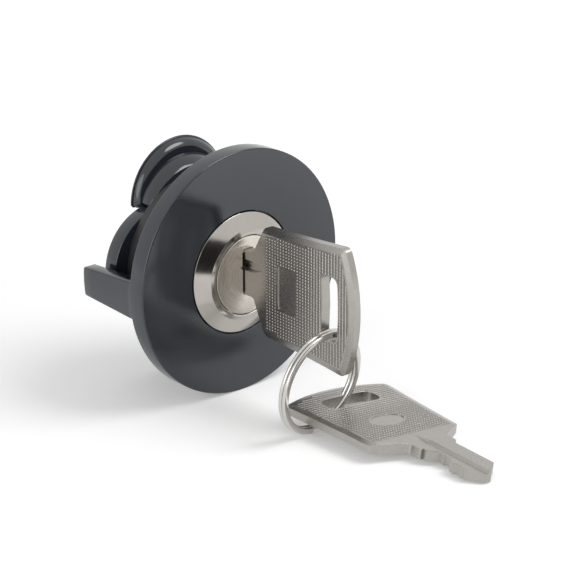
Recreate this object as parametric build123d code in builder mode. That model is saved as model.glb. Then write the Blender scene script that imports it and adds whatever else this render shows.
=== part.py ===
# Lock that closes a power outlet: a round cover with a keyed cylinder, claws behind it that grip
# the back of the opening, and two equal keys on a split ring. Millimetres. The origin lies on the
# lock's axis in the plane of the cover's back face; +Y goes into the outlet and +Z is up.
import os
from math import asin, atan2, cos, degrees, pi, radians, sin, sqrt, tan

from build123d import *

os.makedirs("parts", exist_ok=True)

# Common allowances
overrun = 1.0
running_gap = 0.05
slide_gap = 0.1
free_gap = 0.2
edge_break = 0.3

# Cover and its tab
cover_radius = 25.0
cover_thickness = 4.0
tab_thickness = 3.0
tab_reach = 14.6
tab_root_top = 3.0
tab_root_bottom = -4.8
tab_tip_top = 2.1
tab_tip_bottom = -3.9
tab_edge_radius = 0.5

# Bezel and barrel of the cylinder lock
bezel_radius = 12.3
bezel_gap = 0.3
bezel_rise = 1.68
bezel_top_radius = 9.37
bezel_ring_rise = 0.17
bezel_ring_radius = 8.35
bezel_depth = 2.2
barrel_radius = 9.5
barrel_flat = 8.4
barrel_lead = 0.7

# Washer and hexagon nut behind the cover
nut_floor = 3.0
washer_rim = 2.0
washer_thickness = 1.0
nut_thickness = 4.0
nut_wall = 1.5

# Neck between the cover and the guide plate
neck_wall = 3.3
neck_room = 1.5
neck_end_gap = 0.4

# Guide plate
plate_length = 40.8
plate_height = 24.0
plate_thickness = 3.3
plate_hole_radius = 6.5
channel_width = 10.2
channel_depth = 2.0

# Screws through the plate and the neck into the cover
screw_rise = 8.6
screw_radius = 1.0
screw_head_radius = 2.0
screw_head_depth = 1.1
screw_bite = 2.5
screw_drive = 1.3
screw_drive_depth = 0.6

# Core of the lock
core_face_radius = 8.03
core_face_thickness = 1.5
core_radius = 6.25
core_end_wall = 1.15
tail_radius = 3.2
tail_square = 4.4
tail_screw_radius = 1.25
tail_screw_depth = 4.4
clip_thickness = 0.6
clip_groove_radius = 5.4
clip_radius = 7.5
clip_mouth = 8.4

# Wafers
wafer_count = 5
wafer_end_share = 0.7
wafer_first = -2.6
wafer_thickness = 1.1
wafer_width = 5.6
wafer_groove_radius = 7.4
spring_radius = 0.42
spring_bore = 0.22
spring_notch = 1.1
spring_length = 4.6

# Scroll disc, its washer and screw
scroll_gap = 0.2
scroll_radius = 10.8
scroll_thickness = 2.0
scroll_turn = 90.0
scroll_washer_radius = 3.6
scroll_washer_thickness = 0.6
scroll_screw_head_radius = 2.7
scroll_screw_head = 1.5

# Claws
claw_travel = 2.8
claw_pin_radius = 1.2
claw_pin_place = 5.4
claw_tongue_end = 3.8
claw_front_radius = 12.4
claw_front_centre = 6.3
claw_rear_radius = 11.5
claw_rear_centre = 8.75
claw_cap_bottom = 11.0
claw_cap_centre = 11.4
claw_cap_front_radius = 10.2
claw_cap_rear_radius = 11.6
claw_cap_depth = 1.75
claw_lip_radius = 12.0
claw_lip_depth = 0.35
claw_corner = 0.8

# Key: sizes along it are counted from the shoulder, sizes across it from its middle line
key_thickness = 2.2
key_shoulder = 9.4
key_height = 0.3
bow_length = 27.8
bow_corner_place = 25.0
bow_corner_half = 12.95
bow_side_half = 11.85
bow_side_place = 12.0
bow_root_half = 11.3
bow_root_place = 2.5
bow_corner_radius = 1.4
bow_bevel_width = 1.2
bow_bevel_depth = 0.35
collar_top = 5.2
collar_bottom = -4.1
collar_length = 3.8
collar_slope = 0.9
blade_top = 4.1
blade_bottom = -3.4
blade_length = 17.7
tip_slope = 2.7
tip_ramp = 3.9
tip_height = 0.2
tip_half = 0.7
blade_groove_depth = 0.5
blade_groove_width = 1.3
blade_groove_right = -0.55
blade_groove_left = 2.2
slot_place = 21.1
slot_width = 4.7
slot_length = 12.9
slot_bulge = 0.3
slot_corner = 1.5
panel_place = 8.8
panel_length = 5.2
panel_width = 8.8
panel_depth = 0.35
oval_place = 10.2
oval_length = 4.6
oval_width = 7.6
oval_depth = 0.12
cut_depth_shares = (0.85, 0.9, 0.3, 0.4, 0.3)
cut_full_depth = 2.2
cut_floor = 1.0
cut_angle = 40.0

# Split ring
ring_top = -3.42
ring_band = 1.4
ring_coil = 0.8
ring_coil_gap = 0.04
ring_jog = 30.0
ring_x = -2.95
ring_y = -30.1
ring_yaw = 5.35
ring_lean = 8.3
ring_end_turn = -66.0
floor_gap = 0.03

# Spare key as it lies
spare_offset = 8.45
spare_shoulder = -49.52
spare_yaw = 2.15
spare_foot_gap = 0.03
spare_seat_gap = 0.11

# Places worked out from the sizes above
cover_front = -cover_thickness
bezel_front = cover_front - bezel_rise
lock_face = bezel_front - bezel_ring_rise
bezel_seat = cover_front + bezel_depth
core_shoulder = lock_face + core_face_thickness
keyway_end = blade_length - key_shoulder + free_gap
barrel_end = keyway_end + barrel_lead
wafer_pitch = (keyway_end - wafer_first) / (wafer_count + wafer_end_share)
washer_radius = barrel_radius + washer_rim
nut_flats = 2 * (barrel_radius + nut_wall)
neck_pocket_radius = nut_flats / 2 / cos(pi / 6) + neck_room
neck_radius = neck_pocket_radius + neck_wall
screw_circle = (neck_pocket_radius + neck_radius) / 2
screw_span = 2 * sqrt(screw_circle**2 - (screw_rise / 2) ** 2)
washer_back = nut_floor + washer_thickness
nut_back = washer_back + nut_thickness
clip_front = barrel_end + running_gap
clip_back = clip_front + clip_thickness
core_body_end = clip_back + core_end_wall
neck_length = clip_back + neck_end_gap
plate_front = neck_length
plate_back = plate_front + plate_thickness
channel_floor = plate_back - channel_depth
scroll_front = plate_back + scroll_gap
scroll_back = scroll_front + scroll_thickness
washer_rear = scroll_back + scroll_washer_thickness
claw_hub_front = plate_front + slide_gap
claw_foot = plate_height / 2 + slide_gap
claw_cap_front = plate_back + slide_gap
claw_cap_flank = claw_cap_front + claw_cap_depth
claw_rear = claw_cap_flank + claw_lip_depth
floor_level = -cover_radius


# Upright plane across the lock's axis at a depth y, seen from the front: X right, Z up
def across(y):
    return Plane.XZ.offset(-y)


# Cover: a round disc, sunk for the bezel, with the tab that turns into the outlet's side notch
with BuildPart() as cover_disc:
    with BuildSketch(Plane.YZ.offset(tab_thickness - cover_radius)):
        with BuildLine():
            Polyline(
                (cover_front / 2, tab_root_bottom),
                (0, tab_root_bottom),
                (tab_reach, tab_tip_bottom),
                (tab_reach, tab_tip_top),
                (0, tab_root_top),
                (cover_front / 2, tab_root_top),
                close=True,
            )
        make_face()
    extrude(amount=-(tab_thickness + overrun))
    with BuildSketch(across(tab_reach)):
        Circle(cover_radius)
    extrude(amount=tab_reach + cover_thickness, mode=Mode.INTERSECT)
    tab_end = cover_disc.faces().sort_by(Axis.Y)[-1]
    fillet(tab_end.edges().filter_by(Axis.X), tab_edge_radius)
    with BuildSketch(across(0)):
        Circle(cover_radius)
    extrude(amount=cover_thickness)
    front_rim = cover_disc.edges().filter_by(GeomType.CIRCLE).group_by(Axis.Y)[0]
    chamfer(front_rim, edge_break)
    with BuildSketch(across(bezel_seat)):
        Circle(bezel_radius + bezel_gap)
    extrude(amount=bezel_depth + overrun, mode=Mode.SUBTRACT)
    with BuildSketch(across(overrun)):
        Circle(barrel_radius + slide_gap)
        Rectangle(2 * (barrel_flat + slide_gap), 2 * cover_radius, mode=Mode.INTERSECT)
    extrude(amount=cover_thickness + overrun, mode=Mode.SUBTRACT)
    with BuildSketch(across(0)):
        with GridLocations(screw_span, screw_rise, 2, 2):
            Circle(screw_radius)
    extrude(amount=screw_bite, mode=Mode.SUBTRACT)
cover_disc.part.label = "cover_disc"
export_step(cover_disc.part, "parts/cover_disc.step")

# Neck: a black sleeve whose floor the nut pulls against, with four screw holes in its wall
with BuildPart() as neck_sleeve:
    with BuildSketch(across(neck_length)):
        Circle(neck_radius)
    extrude(amount=neck_length)
    with BuildSketch(across(neck_length)):
        Circle(neck_pocket_radius)
    extrude(amount=neck_length - nut_floor, mode=Mode.SUBTRACT)
    with BuildSketch(across(neck_length)):
        Circle(barrel_radius + slide_gap)
        Rectangle(2 * (barrel_flat + slide_gap), 2 * cover_radius, mode=Mode.INTERSECT)
        with GridLocations(screw_span, screw_rise, 2, 2):
            Circle(screw_radius + slide_gap)
    extrude(amount=neck_length, mode=Mode.SUBTRACT)
neck_sleeve.part.label = "neck_sleeve"
export_step(neck_sleeve.part, "parts/neck_sleeve.step")

# Guide plate: a rounded flange with a channel across its back for the tongues of the claws
with BuildPart() as guide_plate:
    with BuildSketch(across(plate_back)):
        SlotOverall(plate_length, plate_height)
    extrude(amount=plate_thickness)
    chamfer(guide_plate.edges().group_by(Axis.Y)[0], edge_break)
    with BuildSketch(across(plate_back)):
        Rectangle(channel_width, plate_height + overrun)
    extrude(amount=channel_depth, mode=Mode.SUBTRACT)
    with BuildSketch(across(plate_back)):
        Circle(plate_hole_radius)
        with GridLocations(screw_span, screw_rise, 2, 2):
            Circle(screw_radius + slide_gap)
    extrude(amount=plate_thickness, mode=Mode.SUBTRACT)
    sink_slope = degrees(atan2(screw_head_radius - screw_radius, screw_head_depth))
    with BuildSketch(across(plate_back)):
        with GridLocations(screw_span, screw_rise, 2, 2):
            Circle(screw_head_radius + slide_gap)
    extrude(amount=screw_head_depth, taper=sink_slope, mode=Mode.SUBTRACT)
guide_plate.part.label = "guide_plate"
export_step(guide_plate.part, "parts/guide_plate.step")

# Four countersunk screws, one group
with BuildPart() as guide_plate_screws:
    with BuildSketch(across(plate_back)):
        with GridLocations(screw_span, screw_rise, 2, 2):
            Circle(screw_head_radius)
    extrude(amount=screw_head_depth, taper=sink_slope)
    with BuildSketch(across(plate_back)):
        with GridLocations(screw_span, screw_rise, 2, 2):
            Circle(screw_radius - running_gap)
    extrude(amount=plate_back + screw_bite - edge_break)
    with BuildSketch(across(plate_back)):
        with GridLocations(screw_span, screw_rise, 2, 2):
            RegularPolygon(screw_drive / 2, 6)
    extrude(amount=screw_drive_depth, mode=Mode.SUBTRACT)
guide_plate_screws.part.label = "guide_plate_screws"
export_step(guide_plate_screws.part, "parts/guide_plate_screws.step")

# Barrel: conical bezel with a narrow flat ring, and a shaft with two flats
with BuildPart() as lock_barrel:
    with BuildSketch(Plane.XY):
        with BuildLine():
            Polyline(
                (core_radius + running_gap, barrel_end),
                (core_radius + running_gap, core_shoulder + running_gap),
                (core_face_radius + slide_gap, core_shoulder + running_gap),
                (core_face_radius + slide_gap, lock_face),
                (bezel_ring_radius, lock_face),
                (bezel_top_radius, bezel_front),
                (bezel_radius, cover_front),
                (bezel_radius, bezel_seat),
                (barrel_radius, bezel_seat),
                (barrel_radius, barrel_end),
                close=True,
            )
        make_face()
    revolve(axis=Axis.Y)
    with BuildSketch(across(barrel_end)):
        Circle(barrel_radius + overrun)
        Rectangle(2 * barrel_flat, 2 * cover_radius, mode=Mode.SUBTRACT)
    extrude(amount=barrel_end - bezel_seat, mode=Mode.SUBTRACT)
    with BuildSketch(across(barrel_end)):
        Rectangle(wafer_width + 2 * slide_gap, 2 * wafer_groove_radius)
        Circle(core_radius, mode=Mode.SUBTRACT)
    extrude(amount=barrel_end - wafer_first + wafer_pitch / 2, mode=Mode.SUBTRACT)
lock_barrel.part.label = "lock_barrel"
export_step(lock_barrel.part, "parts/lock_barrel.step")

with BuildPart() as barrel_washer:
    with BuildSketch(across(washer_back)):
        Circle(washer_radius)
        Circle(barrel_radius + slide_gap, mode=Mode.SUBTRACT)
    extrude(amount=washer_thickness)
barrel_washer.part.label = "barrel_washer"
export_step(barrel_washer.part, "parts/barrel_washer.step")

with BuildPart() as barrel_nut:
    with BuildSketch(across(nut_back)):
        RegularPolygon(nut_flats / 2, 6, major_radius=False)
        Circle(barrel_radius + running_gap, mode=Mode.SUBTRACT)
    extrude(amount=nut_thickness)
    hole_rims = barrel_nut.edges().filter_by(GeomType.CIRCLE)
    chamfer(hole_rims, edge_break)
barrel_nut.part.label = "barrel_nut"
export_step(barrel_nut.part, "parts/barrel_nut.step")

# Keyway: as tall as the blade, with a ridge on each wall that fits the blade's grooves
keyway_half = key_thickness / 2 + slide_gap
ridge_width = blade_groove_width - 2 * slide_gap
ridge_reach = blade_groove_depth - slide_gap
keyway_top = key_height + blade_top + slide_gap
keyway_bottom = key_height + blade_bottom - slide_gap

# Core: turning face, body with the keyway and the wafer slots, and a square tail
with BuildPart() as core_plug:
    with BuildSketch(Plane.XY):
        with BuildLine():
            Polyline(
                (0, lock_face),
                (core_face_radius, lock_face),
                (core_face_radius, core_shoulder),
                (core_radius, core_shoulder),
                (core_radius, clip_front),
                (clip_groove_radius, clip_front),
                (clip_groove_radius, clip_back),
                (core_radius, clip_back),
                (core_radius, core_body_end),
                (tail_radius, core_body_end),
                (tail_radius, scroll_front),
                (0, scroll_front),
                close=True,
            )
        make_face()
    revolve(axis=Axis.Y)
    with BuildSketch(across(scroll_back - running_gap)):
        Rectangle(tail_square, tail_square)
    extrude(amount=scroll_thickness)
    with BuildSketch(across(scroll_back)):
        Circle(tail_screw_radius + running_gap)
    extrude(amount=tail_screw_depth, mode=Mode.SUBTRACT)
    with BuildSketch(across(keyway_end)):
        with Locations((0, (keyway_top + keyway_bottom) / 2)):
            Rectangle(2 * keyway_half, keyway_top - keyway_bottom)
        with Locations((keyway_half - ridge_reach / 2, key_height + blade_groove_right)):
            Rectangle(ridge_reach, ridge_width, mode=Mode.SUBTRACT)
        with Locations((ridge_reach / 2 - keyway_half, key_height + blade_groove_left)):
            Rectangle(ridge_reach, ridge_width, mode=Mode.SUBTRACT)
    extrude(amount=keyway_end - lock_face + overrun, mode=Mode.SUBTRACT)
    pocket_depth = collar_length - (key_shoulder + lock_face) + slide_gap
    with BuildSketch(across(lock_face + pocket_depth)):
        with Locations((0, key_height + (collar_top + collar_bottom) / 2)):
            Rectangle(2 * keyway_half, collar_top - collar_bottom + 2 * slide_gap)
    extrude(amount=pocket_depth + overrun, mode=Mode.SUBTRACT)
    for index in range(wafer_count):
        with BuildSketch(across(wafer_first + index * wafer_pitch + wafer_thickness / 2 + slide_gap)):
            Rectangle(wafer_width + 2 * slide_gap, 2 * core_radius + overrun)
        extrude(amount=wafer_thickness + 2 * slide_gap, mode=Mode.SUBTRACT)
core_plug.part.label = "core_plug"
export_step(core_plug.part, "parts/core_plug.step")

# Wafers: flat tumblers with a window for the blade and a notch at one side for a spring
notch_x = (keyway_half + wafer_width / 2) / 2 + free_gap
for index in range(wafer_count):
    wafer_back = wafer_first + index * wafer_pitch + wafer_thickness / 2
    with BuildPart() as wafer:
        with BuildSketch(across(wafer_back)):
            Circle(core_radius - running_gap)
            Rectangle(wafer_width, 2 * core_radius, mode=Mode.INTERSECT)
            with Locations((0, (keyway_top + keyway_bottom) / 2)):
                Rectangle(2 * keyway_half, keyway_top - keyway_bottom, mode=Mode.SUBTRACT)
            with Locations((notch_x + overrun / 2, 0)):
                Rectangle(spring_notch + overrun, spring_length + free_gap, mode=Mode.SUBTRACT)
        extrude(amount=wafer_thickness)
    wafer.part.label = "wafer_" + str(index + 1)
    export_step(wafer.part, "parts/wafer_" + str(index + 1) + ".step")

# One small spring beside each wafer, drawn as the sleeve that its coils fill
with BuildPart() as wafer_springs:
    with BuildSketch(Plane.XY.offset(-spring_length / 2)):
        with Locations(*[(notch_x, wafer_first + index * wafer_pitch) for index in range(wafer_count)]):
            Circle(spring_radius)
            Circle(spring_bore, mode=Mode.SUBTRACT)
    extrude(amount=spring_length)
wafer_springs.part.label = "wafer_springs"
export_step(wafer_springs.part, "parts/wafer_springs.step")

# Clip: an open ring in the core's groove, behind the barrel
with BuildPart() as core_clip:
    with BuildSketch(across(clip_back)):
        Circle(clip_radius)
        Circle(clip_groove_radius + running_gap, mode=Mode.SUBTRACT)
        with Locations((0, -clip_radius)):
            Rectangle(clip_mouth, 2 * clip_radius, mode=Mode.SUBTRACT)
    extrude(amount=clip_thickness)
core_clip.part.label = "core_clip"
export_step(core_clip.part, "parts/core_clip.step")

# Scroll disc: two equal spiral slots whose radius grows evenly over a quarter turn, so each
# claw's pin is carried outward at one steady rate
slot_half = (claw_pin_radius + free_gap) / cos(atan2(claw_travel * 2 / pi, claw_pin_place))


def spiral_point(share, shift, start):
    angle = radians(start + share * scroll_turn)
    reach = claw_pin_place + share * claw_travel + shift
    return (reach * cos(angle), reach * sin(angle))


spiral_shares = (0, 0.25, 0.5, 0.75, 1)
with BuildPart() as scroll_disc:
    with BuildSketch(across(scroll_back)):
        Circle(scroll_radius)
        Rectangle(tail_square + running_gap, tail_square + running_gap, mode=Mode.SUBTRACT)
    extrude(amount=scroll_thickness)
    for start in (90, 270):
        with BuildSketch(across(scroll_back)):
            with BuildLine():
                outer = Spline([spiral_point(share, slot_half, start) for share in spiral_shares])
                inner = Spline([spiral_point(share, -slot_half, start) for share in spiral_shares])
                first_end = Vector(*spiral_point(0, 0, start))
                last_end = Vector(*spiral_point(1, 0, start))
                backward = Vector(sin(radians(start)), -cos(radians(start)))
                onward = Vector(-sin(radians(start + scroll_turn)), cos(radians(start + scroll_turn)))
                ThreePointArc(inner @ 0, first_end + backward * slot_half, outer @ 0)
                ThreePointArc(inner @ 1, last_end + onward * slot_half, outer @ 1)
            make_face()
        extrude(amount=scroll_thickness, mode=Mode.SUBTRACT)
scroll_disc.part.label = "scroll_disc"
export_step(scroll_disc.part, "parts/scroll_disc.step")

with BuildPart() as scroll_washer:
    with BuildSketch(across(washer_rear)):
        Circle(scroll_washer_radius)
        Circle(tail_screw_radius + free_gap, mode=Mode.SUBTRACT)
    extrude(amount=scroll_washer_thickness)
scroll_washer.part.label = "scroll_washer"
export_step(scroll_washer.part, "parts/scroll_washer.step")

with BuildPart() as scroll_screw:
    with BuildSketch(across(washer_rear + scroll_screw_head)):
        Circle(scroll_screw_head_radius)
    extrude(amount=scroll_screw_head)
    fillet(scroll_screw.edges().group_by(Axis.Y)[-1], scroll_screw_head / 2)
    with BuildSketch(across(washer_rear)):
        Circle(tail_screw_radius)
    extrude(amount=scroll_washer_thickness + tail_screw_depth - edge_break)
    with BuildSketch(across(washer_rear + scroll_screw_head)):
        Rectangle(2 * scroll_screw_head_radius / 3, scroll_screw_head / 3)
        Rectangle(scroll_screw_head / 3, 2 * scroll_screw_head_radius / 3)
    extrude(amount=scroll_screw_head / 2, mode=Mode.SUBTRACT)
scroll_screw.part.label = "scroll_screw"
export_step(scroll_screw.part, "parts/scroll_screw.step")

# Upper claw: a hub that narrows from front to back, a flared cap with a thin lip, a tongue that
# slides in the guide plate's channel and a pin that runs in the scroll disc
with BuildPart() as upper_claw:
    with BuildSketch(across(claw_hub_front)):
        with Locations((0, claw_front_centre)):
            Circle(claw_front_radius)
        with Locations((0, claw_foot + claw_front_radius)):
            Rectangle(2 * claw_lip_radius, 2 * claw_front_radius, mode=Mode.INTERSECT)
    with BuildSketch(across(claw_cap_front)):
        with Locations((0, claw_rear_centre)):
            Circle(claw_rear_radius)
        with Locations((0, claw_foot + claw_front_radius)):
            Rectangle(2 * claw_lip_radius, 2 * claw_front_radius, mode=Mode.INTERSECT)
    loft()
    with BuildSketch(Plane.XY.offset(claw_cap_centre)):
        with BuildLine():
            Line((0, claw_cap_front), (claw_cap_front_radius, claw_cap_front))
            flare = SagittaArc(
                (claw_cap_front_radius, claw_cap_front),
                (claw_cap_rear_radius, claw_cap_flank),
                -claw_lip_depth,
            )
            Polyline(
                flare @ 1,
                (claw_lip_radius, claw_cap_flank),
                (claw_lip_radius, claw_rear),
                (0, claw_rear),
                (0, claw_cap_front),
            )
        make_face()
    revolve(axis=Axis((0, 0, claw_cap_centre), (0, 1, 0)))
    with BuildSketch(across(claw_rear)):
        with Locations((0, claw_cap_bottom - claw_lip_radius)):
            Rectangle(3 * claw_lip_radius, 2 * claw_lip_radius)
    extrude(amount=claw_rear - claw_cap_front, mode=Mode.SUBTRACT)
    cap_feet = upper_claw.edges().filter_by(Axis.Y).group_by(Axis.Z)[0]
    fillet(cap_feet, claw_corner)
    with BuildSketch(across(plate_back - running_gap)):
        tongue_top = claw_foot + overrun
        with Locations((0, (tongue_top + claw_tongue_end) / 2)):
            Rectangle(channel_width - 2 * slide_gap, tongue_top - claw_tongue_end)
    extrude(amount=channel_depth - running_gap - slide_gap)
    with BuildSketch(across(scroll_back - slide_gap)):
        with Locations((0, claw_pin_place)):
            Circle(claw_pin_radius)
    extrude(amount=scroll_back - slide_gap - channel_floor - slide_gap)
upper_claw.part.label = "upper_claw"
export_step(upper_claw.part, "parts/upper_claw.step")

# Lower claw: the same piece, opposite
with BuildPart() as lower_claw:
    mirror(upper_claw.part, about=Plane.XY)
lower_claw.part.label = "lower_claw"
export_step(lower_claw.part, "parts/lower_claw.step")


# Key in a plane of its own: the bow lies toward local +X, the blade toward local -X, and the
# cuts are along the blade's lower edge
def key_solid(plane):
    left = plane.offset(key_thickness / 2)
    right = plane.offset(-key_thickness / 2)
    with BuildPart() as key_part:
        with BuildSketch(right):
            with BuildLine():
                Polyline(
                    (-collar_length, blade_top),
                    (-collar_length, collar_top),
                    (-collar_slope, collar_top),
                    (bow_root_place, bow_root_half),
                )
                top_side = ThreePointArc(
                    (bow_root_place, bow_root_half),
                    (bow_side_place, bow_side_half),
                    (bow_corner_place, bow_corner_half),
                )
                end_arc = ThreePointArc(
                    top_side @ 1, (bow_length, 0), (bow_corner_place, -bow_corner_half)
                )
                ThreePointArc(
                    end_arc @ 1, (bow_side_place, -bow_side_half), (bow_root_place, -bow_root_half)
                )
                Polyline(
                    (bow_root_place, -bow_root_half),
                    (-collar_slope, collar_bottom),
                    (-collar_length, collar_bottom),
                    (-collar_length, blade_bottom),
                )
                Polyline(
                    (-collar_length, blade_bottom),
                    (tip_ramp - blade_length, blade_bottom),
                    (-blade_length, tip_height - tip_half),
                    (-blade_length, tip_height + tip_half),
                    (tip_slope - blade_length, blade_top),
                    (-collar_length, blade_top),
                )
            make_face()
        extrude(amount=key_thickness)
        # Cuts, one under each wafer
        with BuildSketch(right):
            for index in range(wafer_count):
                cut_place = -key_shoulder - (wafer_first + index * wafer_pitch)
                cut_depth = cut_full_depth * cut_depth_shares[index]
                cut_top = blade_bottom + cut_depth
                cut_mouth = cut_floor / 2 + (cut_depth + overrun) * tan(radians(cut_angle))
                with BuildLine():
                    Polyline(
                        (cut_place - cut_floor / 2, cut_top),
                        (cut_place - cut_mouth, blade_bottom - overrun),
                        (cut_place + cut_mouth, blade_bottom - overrun),
                        (cut_place + cut_floor / 2, cut_top),
                        close=True,
                    )
                make_face()
        extrude(amount=key_thickness, mode=Mode.SUBTRACT)
        upright = key_part.edges().filter_by(Axis(plane.origin, plane.z_dir))
        by_reach = upright.sort_by(lambda edge: plane.to_local_coords(edge.center()).X)
        fillet(by_reach[-2:], bow_corner_radius)
        # Wide, shallow bevel round the bow on both faces
        for level in (key_thickness / 2, -key_thickness / 2):
            face = key_part.faces().sort_by_distance(plane.offset(level).origin)[0]
            bow_rims = face.edges().filter_by(
                lambda edge: plane.to_local_coords(edge.center()).X > bow_root_place
            )
            chamfer(bow_rims, bow_bevel_width, bow_bevel_depth, reference=face)
        # Slot for the ring
        with BuildSketch(right):
            with BuildLine():
                slot_near = slot_place - slot_width / 2
                slot_far = slot_place + slot_width / 2
                near_side = Polyline(
                    (slot_near, -slot_length / 2),
                    (slot_near + slot_bulge, 0),
                    (slot_near, slot_length / 2),
                )
                Line(near_side @ 1, (slot_far - slot_bulge, slot_length / 2))
                ThreePointArc(
                    (slot_far - slot_bulge, slot_length / 2),
                    (slot_far, 0),
                    (slot_far - slot_bulge, -slot_length / 2),
                )
                Line((slot_far - slot_bulge, -slot_length / 2), near_side @ 0)
            make_face()
            fillet(vertices().group_by(Axis.Y)[0] + vertices().group_by(Axis.Y)[-1], slot_corner)
        extrude(amount=key_thickness, mode=Mode.SUBTRACT)
        # Sunk panel on one side of the bow, sunk oval on the other
        with BuildSketch(left):
            with Locations((panel_place, 0)):
                Rectangle(panel_length, panel_width)
        extrude(amount=-panel_depth, mode=Mode.SUBTRACT)
        with BuildSketch(right):
            with Locations((oval_place, 0)):
                Ellipse(oval_length / 2, oval_width / 2)
        extrude(amount=oval_depth, mode=Mode.SUBTRACT)
        # Grooves along the blade
        with BuildSketch(right):
            with Locations((-blade_length / 2, blade_groove_right)):
                Rectangle(blade_length, blade_groove_width)
        extrude(amount=blade_groove_depth, mode=Mode.SUBTRACT)
        with BuildSketch(left):
            with Locations((-blade_length / 2, blade_groove_left)):
                Rectangle(blade_length, blade_groove_width)
        extrude(amount=-blade_groove_depth, mode=Mode.SUBTRACT)
    return key_part.part


inserted_plane = Plane(origin=(0, -key_shoulder, key_height), x_dir=(0, -1, 0), z_dir=(-1, 0, 0))
key = key_solid(inserted_plane)
key.label = "key"
export_step(key, "parts/key.step")

# Split ring: a flat wire wound nearly twice, upright, leaning a little, its foot on the surface
coil_level = (ring_coil + ring_coil_gap) / 2
ring_half_width = coil_level + ring_coil / 2
lean, turn = radians(ring_lean), radians(ring_yaw)
ring_foot = (ring_top - floor_level - floor_gap) / 2
ring_radius = (ring_foot - ring_half_width * sin(lean)) / cos(lean)
coil_radius = ring_radius - ring_band / 2
ring_centre = Vector(ring_x, ring_y, floor_level + floor_gap + ring_foot)
ring_axis = Vector(sin(turn) * cos(lean), -cos(turn) * cos(lean), -sin(lean))
ring_plane = Plane(origin=ring_centre, x_dir=(cos(turn), sin(turn), 0), z_dir=ring_axis)


# Plane square to the wire at an angle round the ring: X points outward
def wire_section(angle, level):
    turned = radians(ring_end_turn + angle)
    outward = ring_plane.x_dir * cos(turned) + ring_plane.y_dir * sin(turned)
    onward = ring_plane.y_dir * cos(turned) - ring_plane.x_dir * sin(turned)
    return Plane(origin=ring_centre + outward * coil_radius + ring_axis * level, x_dir=outward, z_dir=onward)


jog_shares = (-1, -0.5, 0, 0.5, 1)
with BuildPart() as split_ring:
    for level in (-coil_level, coil_level):
        with BuildSketch(wire_section(ring_jog, level)):
            Rectangle(ring_band, ring_coil)
        revolve(axis=Axis(ring_centre, ring_axis), revolution_arc=360 - 2 * ring_jog)
    for share in jog_shares:
        with BuildSketch(wire_section(share * ring_jog, sin(share * pi / 2) * coil_level)):
            Rectangle(ring_band, ring_coil)
    loft()
split_ring.part.label = "split_ring"
export_step(split_ring.part, "parts/split_ring.step")

# Spare key: its blade and one shoulder rest on the surface, and the end of its slot on the ring,
# so its slope and its roll follow from these three heights
yaw = radians(spare_yaw)
seat_side = slot_length / 2
seat_offset = spare_offset + slot_place * sin(yaw) - seat_side
ring_bore = ring_radius - ring_band
seat_drop = sqrt(ring_bore**2 - seat_offset**2) * cos(lean) - ring_half_width * sin(lean)
seat_level = ring_centre.Z - seat_drop + spare_seat_gap
foot_level = floor_level + spare_foot_gap
heel_place = blade_length - tip_slope
slope_per_roll = (bow_root_half - blade_top) / (bow_root_place + heel_place)
roll_rise = (seat_level - foot_level) / (
    (slot_place - bow_root_place) * slope_per_roll + bow_root_half + seat_side
)
slope_rise = roll_rise * slope_per_roll
slope = asin(slope_rise)
roll = asin(roll_rise / cos(slope))
spare_along = Vector(sin(yaw) * cos(slope), cos(yaw) * cos(slope), slope_rise)
level_across = Vector(cos(yaw), -sin(yaw), 0)
spare_across = level_across * cos(roll) + spare_along.cross(level_across) * sin(roll)
spare_down = spare_along.cross(spare_across)
spare_level = (
    foot_level + heel_place * slope_rise + blade_top * roll_rise - spare_down.Z * key_thickness / 2
)
spare_origin = Vector(ring_x + spare_offset, spare_shoulder, spare_level)
spare_plane = Plane(origin=spare_origin, x_dir=spare_along, z_dir=spare_down)
spare_key = key_solid(spare_plane)
spare_key.label = "spare_key"
export_step(spare_key, "parts/spare_key.step")
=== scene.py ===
from math import atan2, cos, dist, pi, radians, sin, sqrt, tan

import bmesh
import bpy
from mathutils import Matrix, Vector
from mathutils.geometry import tessellate_polygon


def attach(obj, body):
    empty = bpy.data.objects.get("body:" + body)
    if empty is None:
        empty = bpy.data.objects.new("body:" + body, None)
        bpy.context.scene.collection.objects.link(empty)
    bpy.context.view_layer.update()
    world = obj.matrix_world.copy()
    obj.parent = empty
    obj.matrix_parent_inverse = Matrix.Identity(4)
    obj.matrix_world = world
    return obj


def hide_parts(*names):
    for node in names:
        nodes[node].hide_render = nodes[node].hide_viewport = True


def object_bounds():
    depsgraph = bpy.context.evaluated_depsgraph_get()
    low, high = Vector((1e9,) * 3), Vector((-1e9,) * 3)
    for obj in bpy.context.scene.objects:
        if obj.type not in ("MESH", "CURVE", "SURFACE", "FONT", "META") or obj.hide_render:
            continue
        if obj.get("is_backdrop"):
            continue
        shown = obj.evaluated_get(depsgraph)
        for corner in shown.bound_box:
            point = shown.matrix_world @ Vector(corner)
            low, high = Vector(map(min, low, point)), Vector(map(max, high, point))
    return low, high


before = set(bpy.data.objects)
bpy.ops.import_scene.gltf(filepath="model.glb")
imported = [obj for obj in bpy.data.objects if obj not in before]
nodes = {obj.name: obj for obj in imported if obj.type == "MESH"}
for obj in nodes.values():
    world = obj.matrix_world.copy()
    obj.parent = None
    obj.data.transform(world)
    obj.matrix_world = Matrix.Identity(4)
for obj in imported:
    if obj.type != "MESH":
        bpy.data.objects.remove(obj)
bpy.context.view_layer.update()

mm = 0.001
scene = bpy.context.scene
scene.view_settings.view_transform = "Standard"
print("frame loaded:", len(nodes), "nodes")


# Mesh helpers


def addObject(name, mesh, material=None):
    made = bpy.data.objects.new(name, mesh)
    scene.collection.objects.link(made)
    if material:
        mesh.materials.clear()
        mesh.materials.append(material)
    return made


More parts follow.
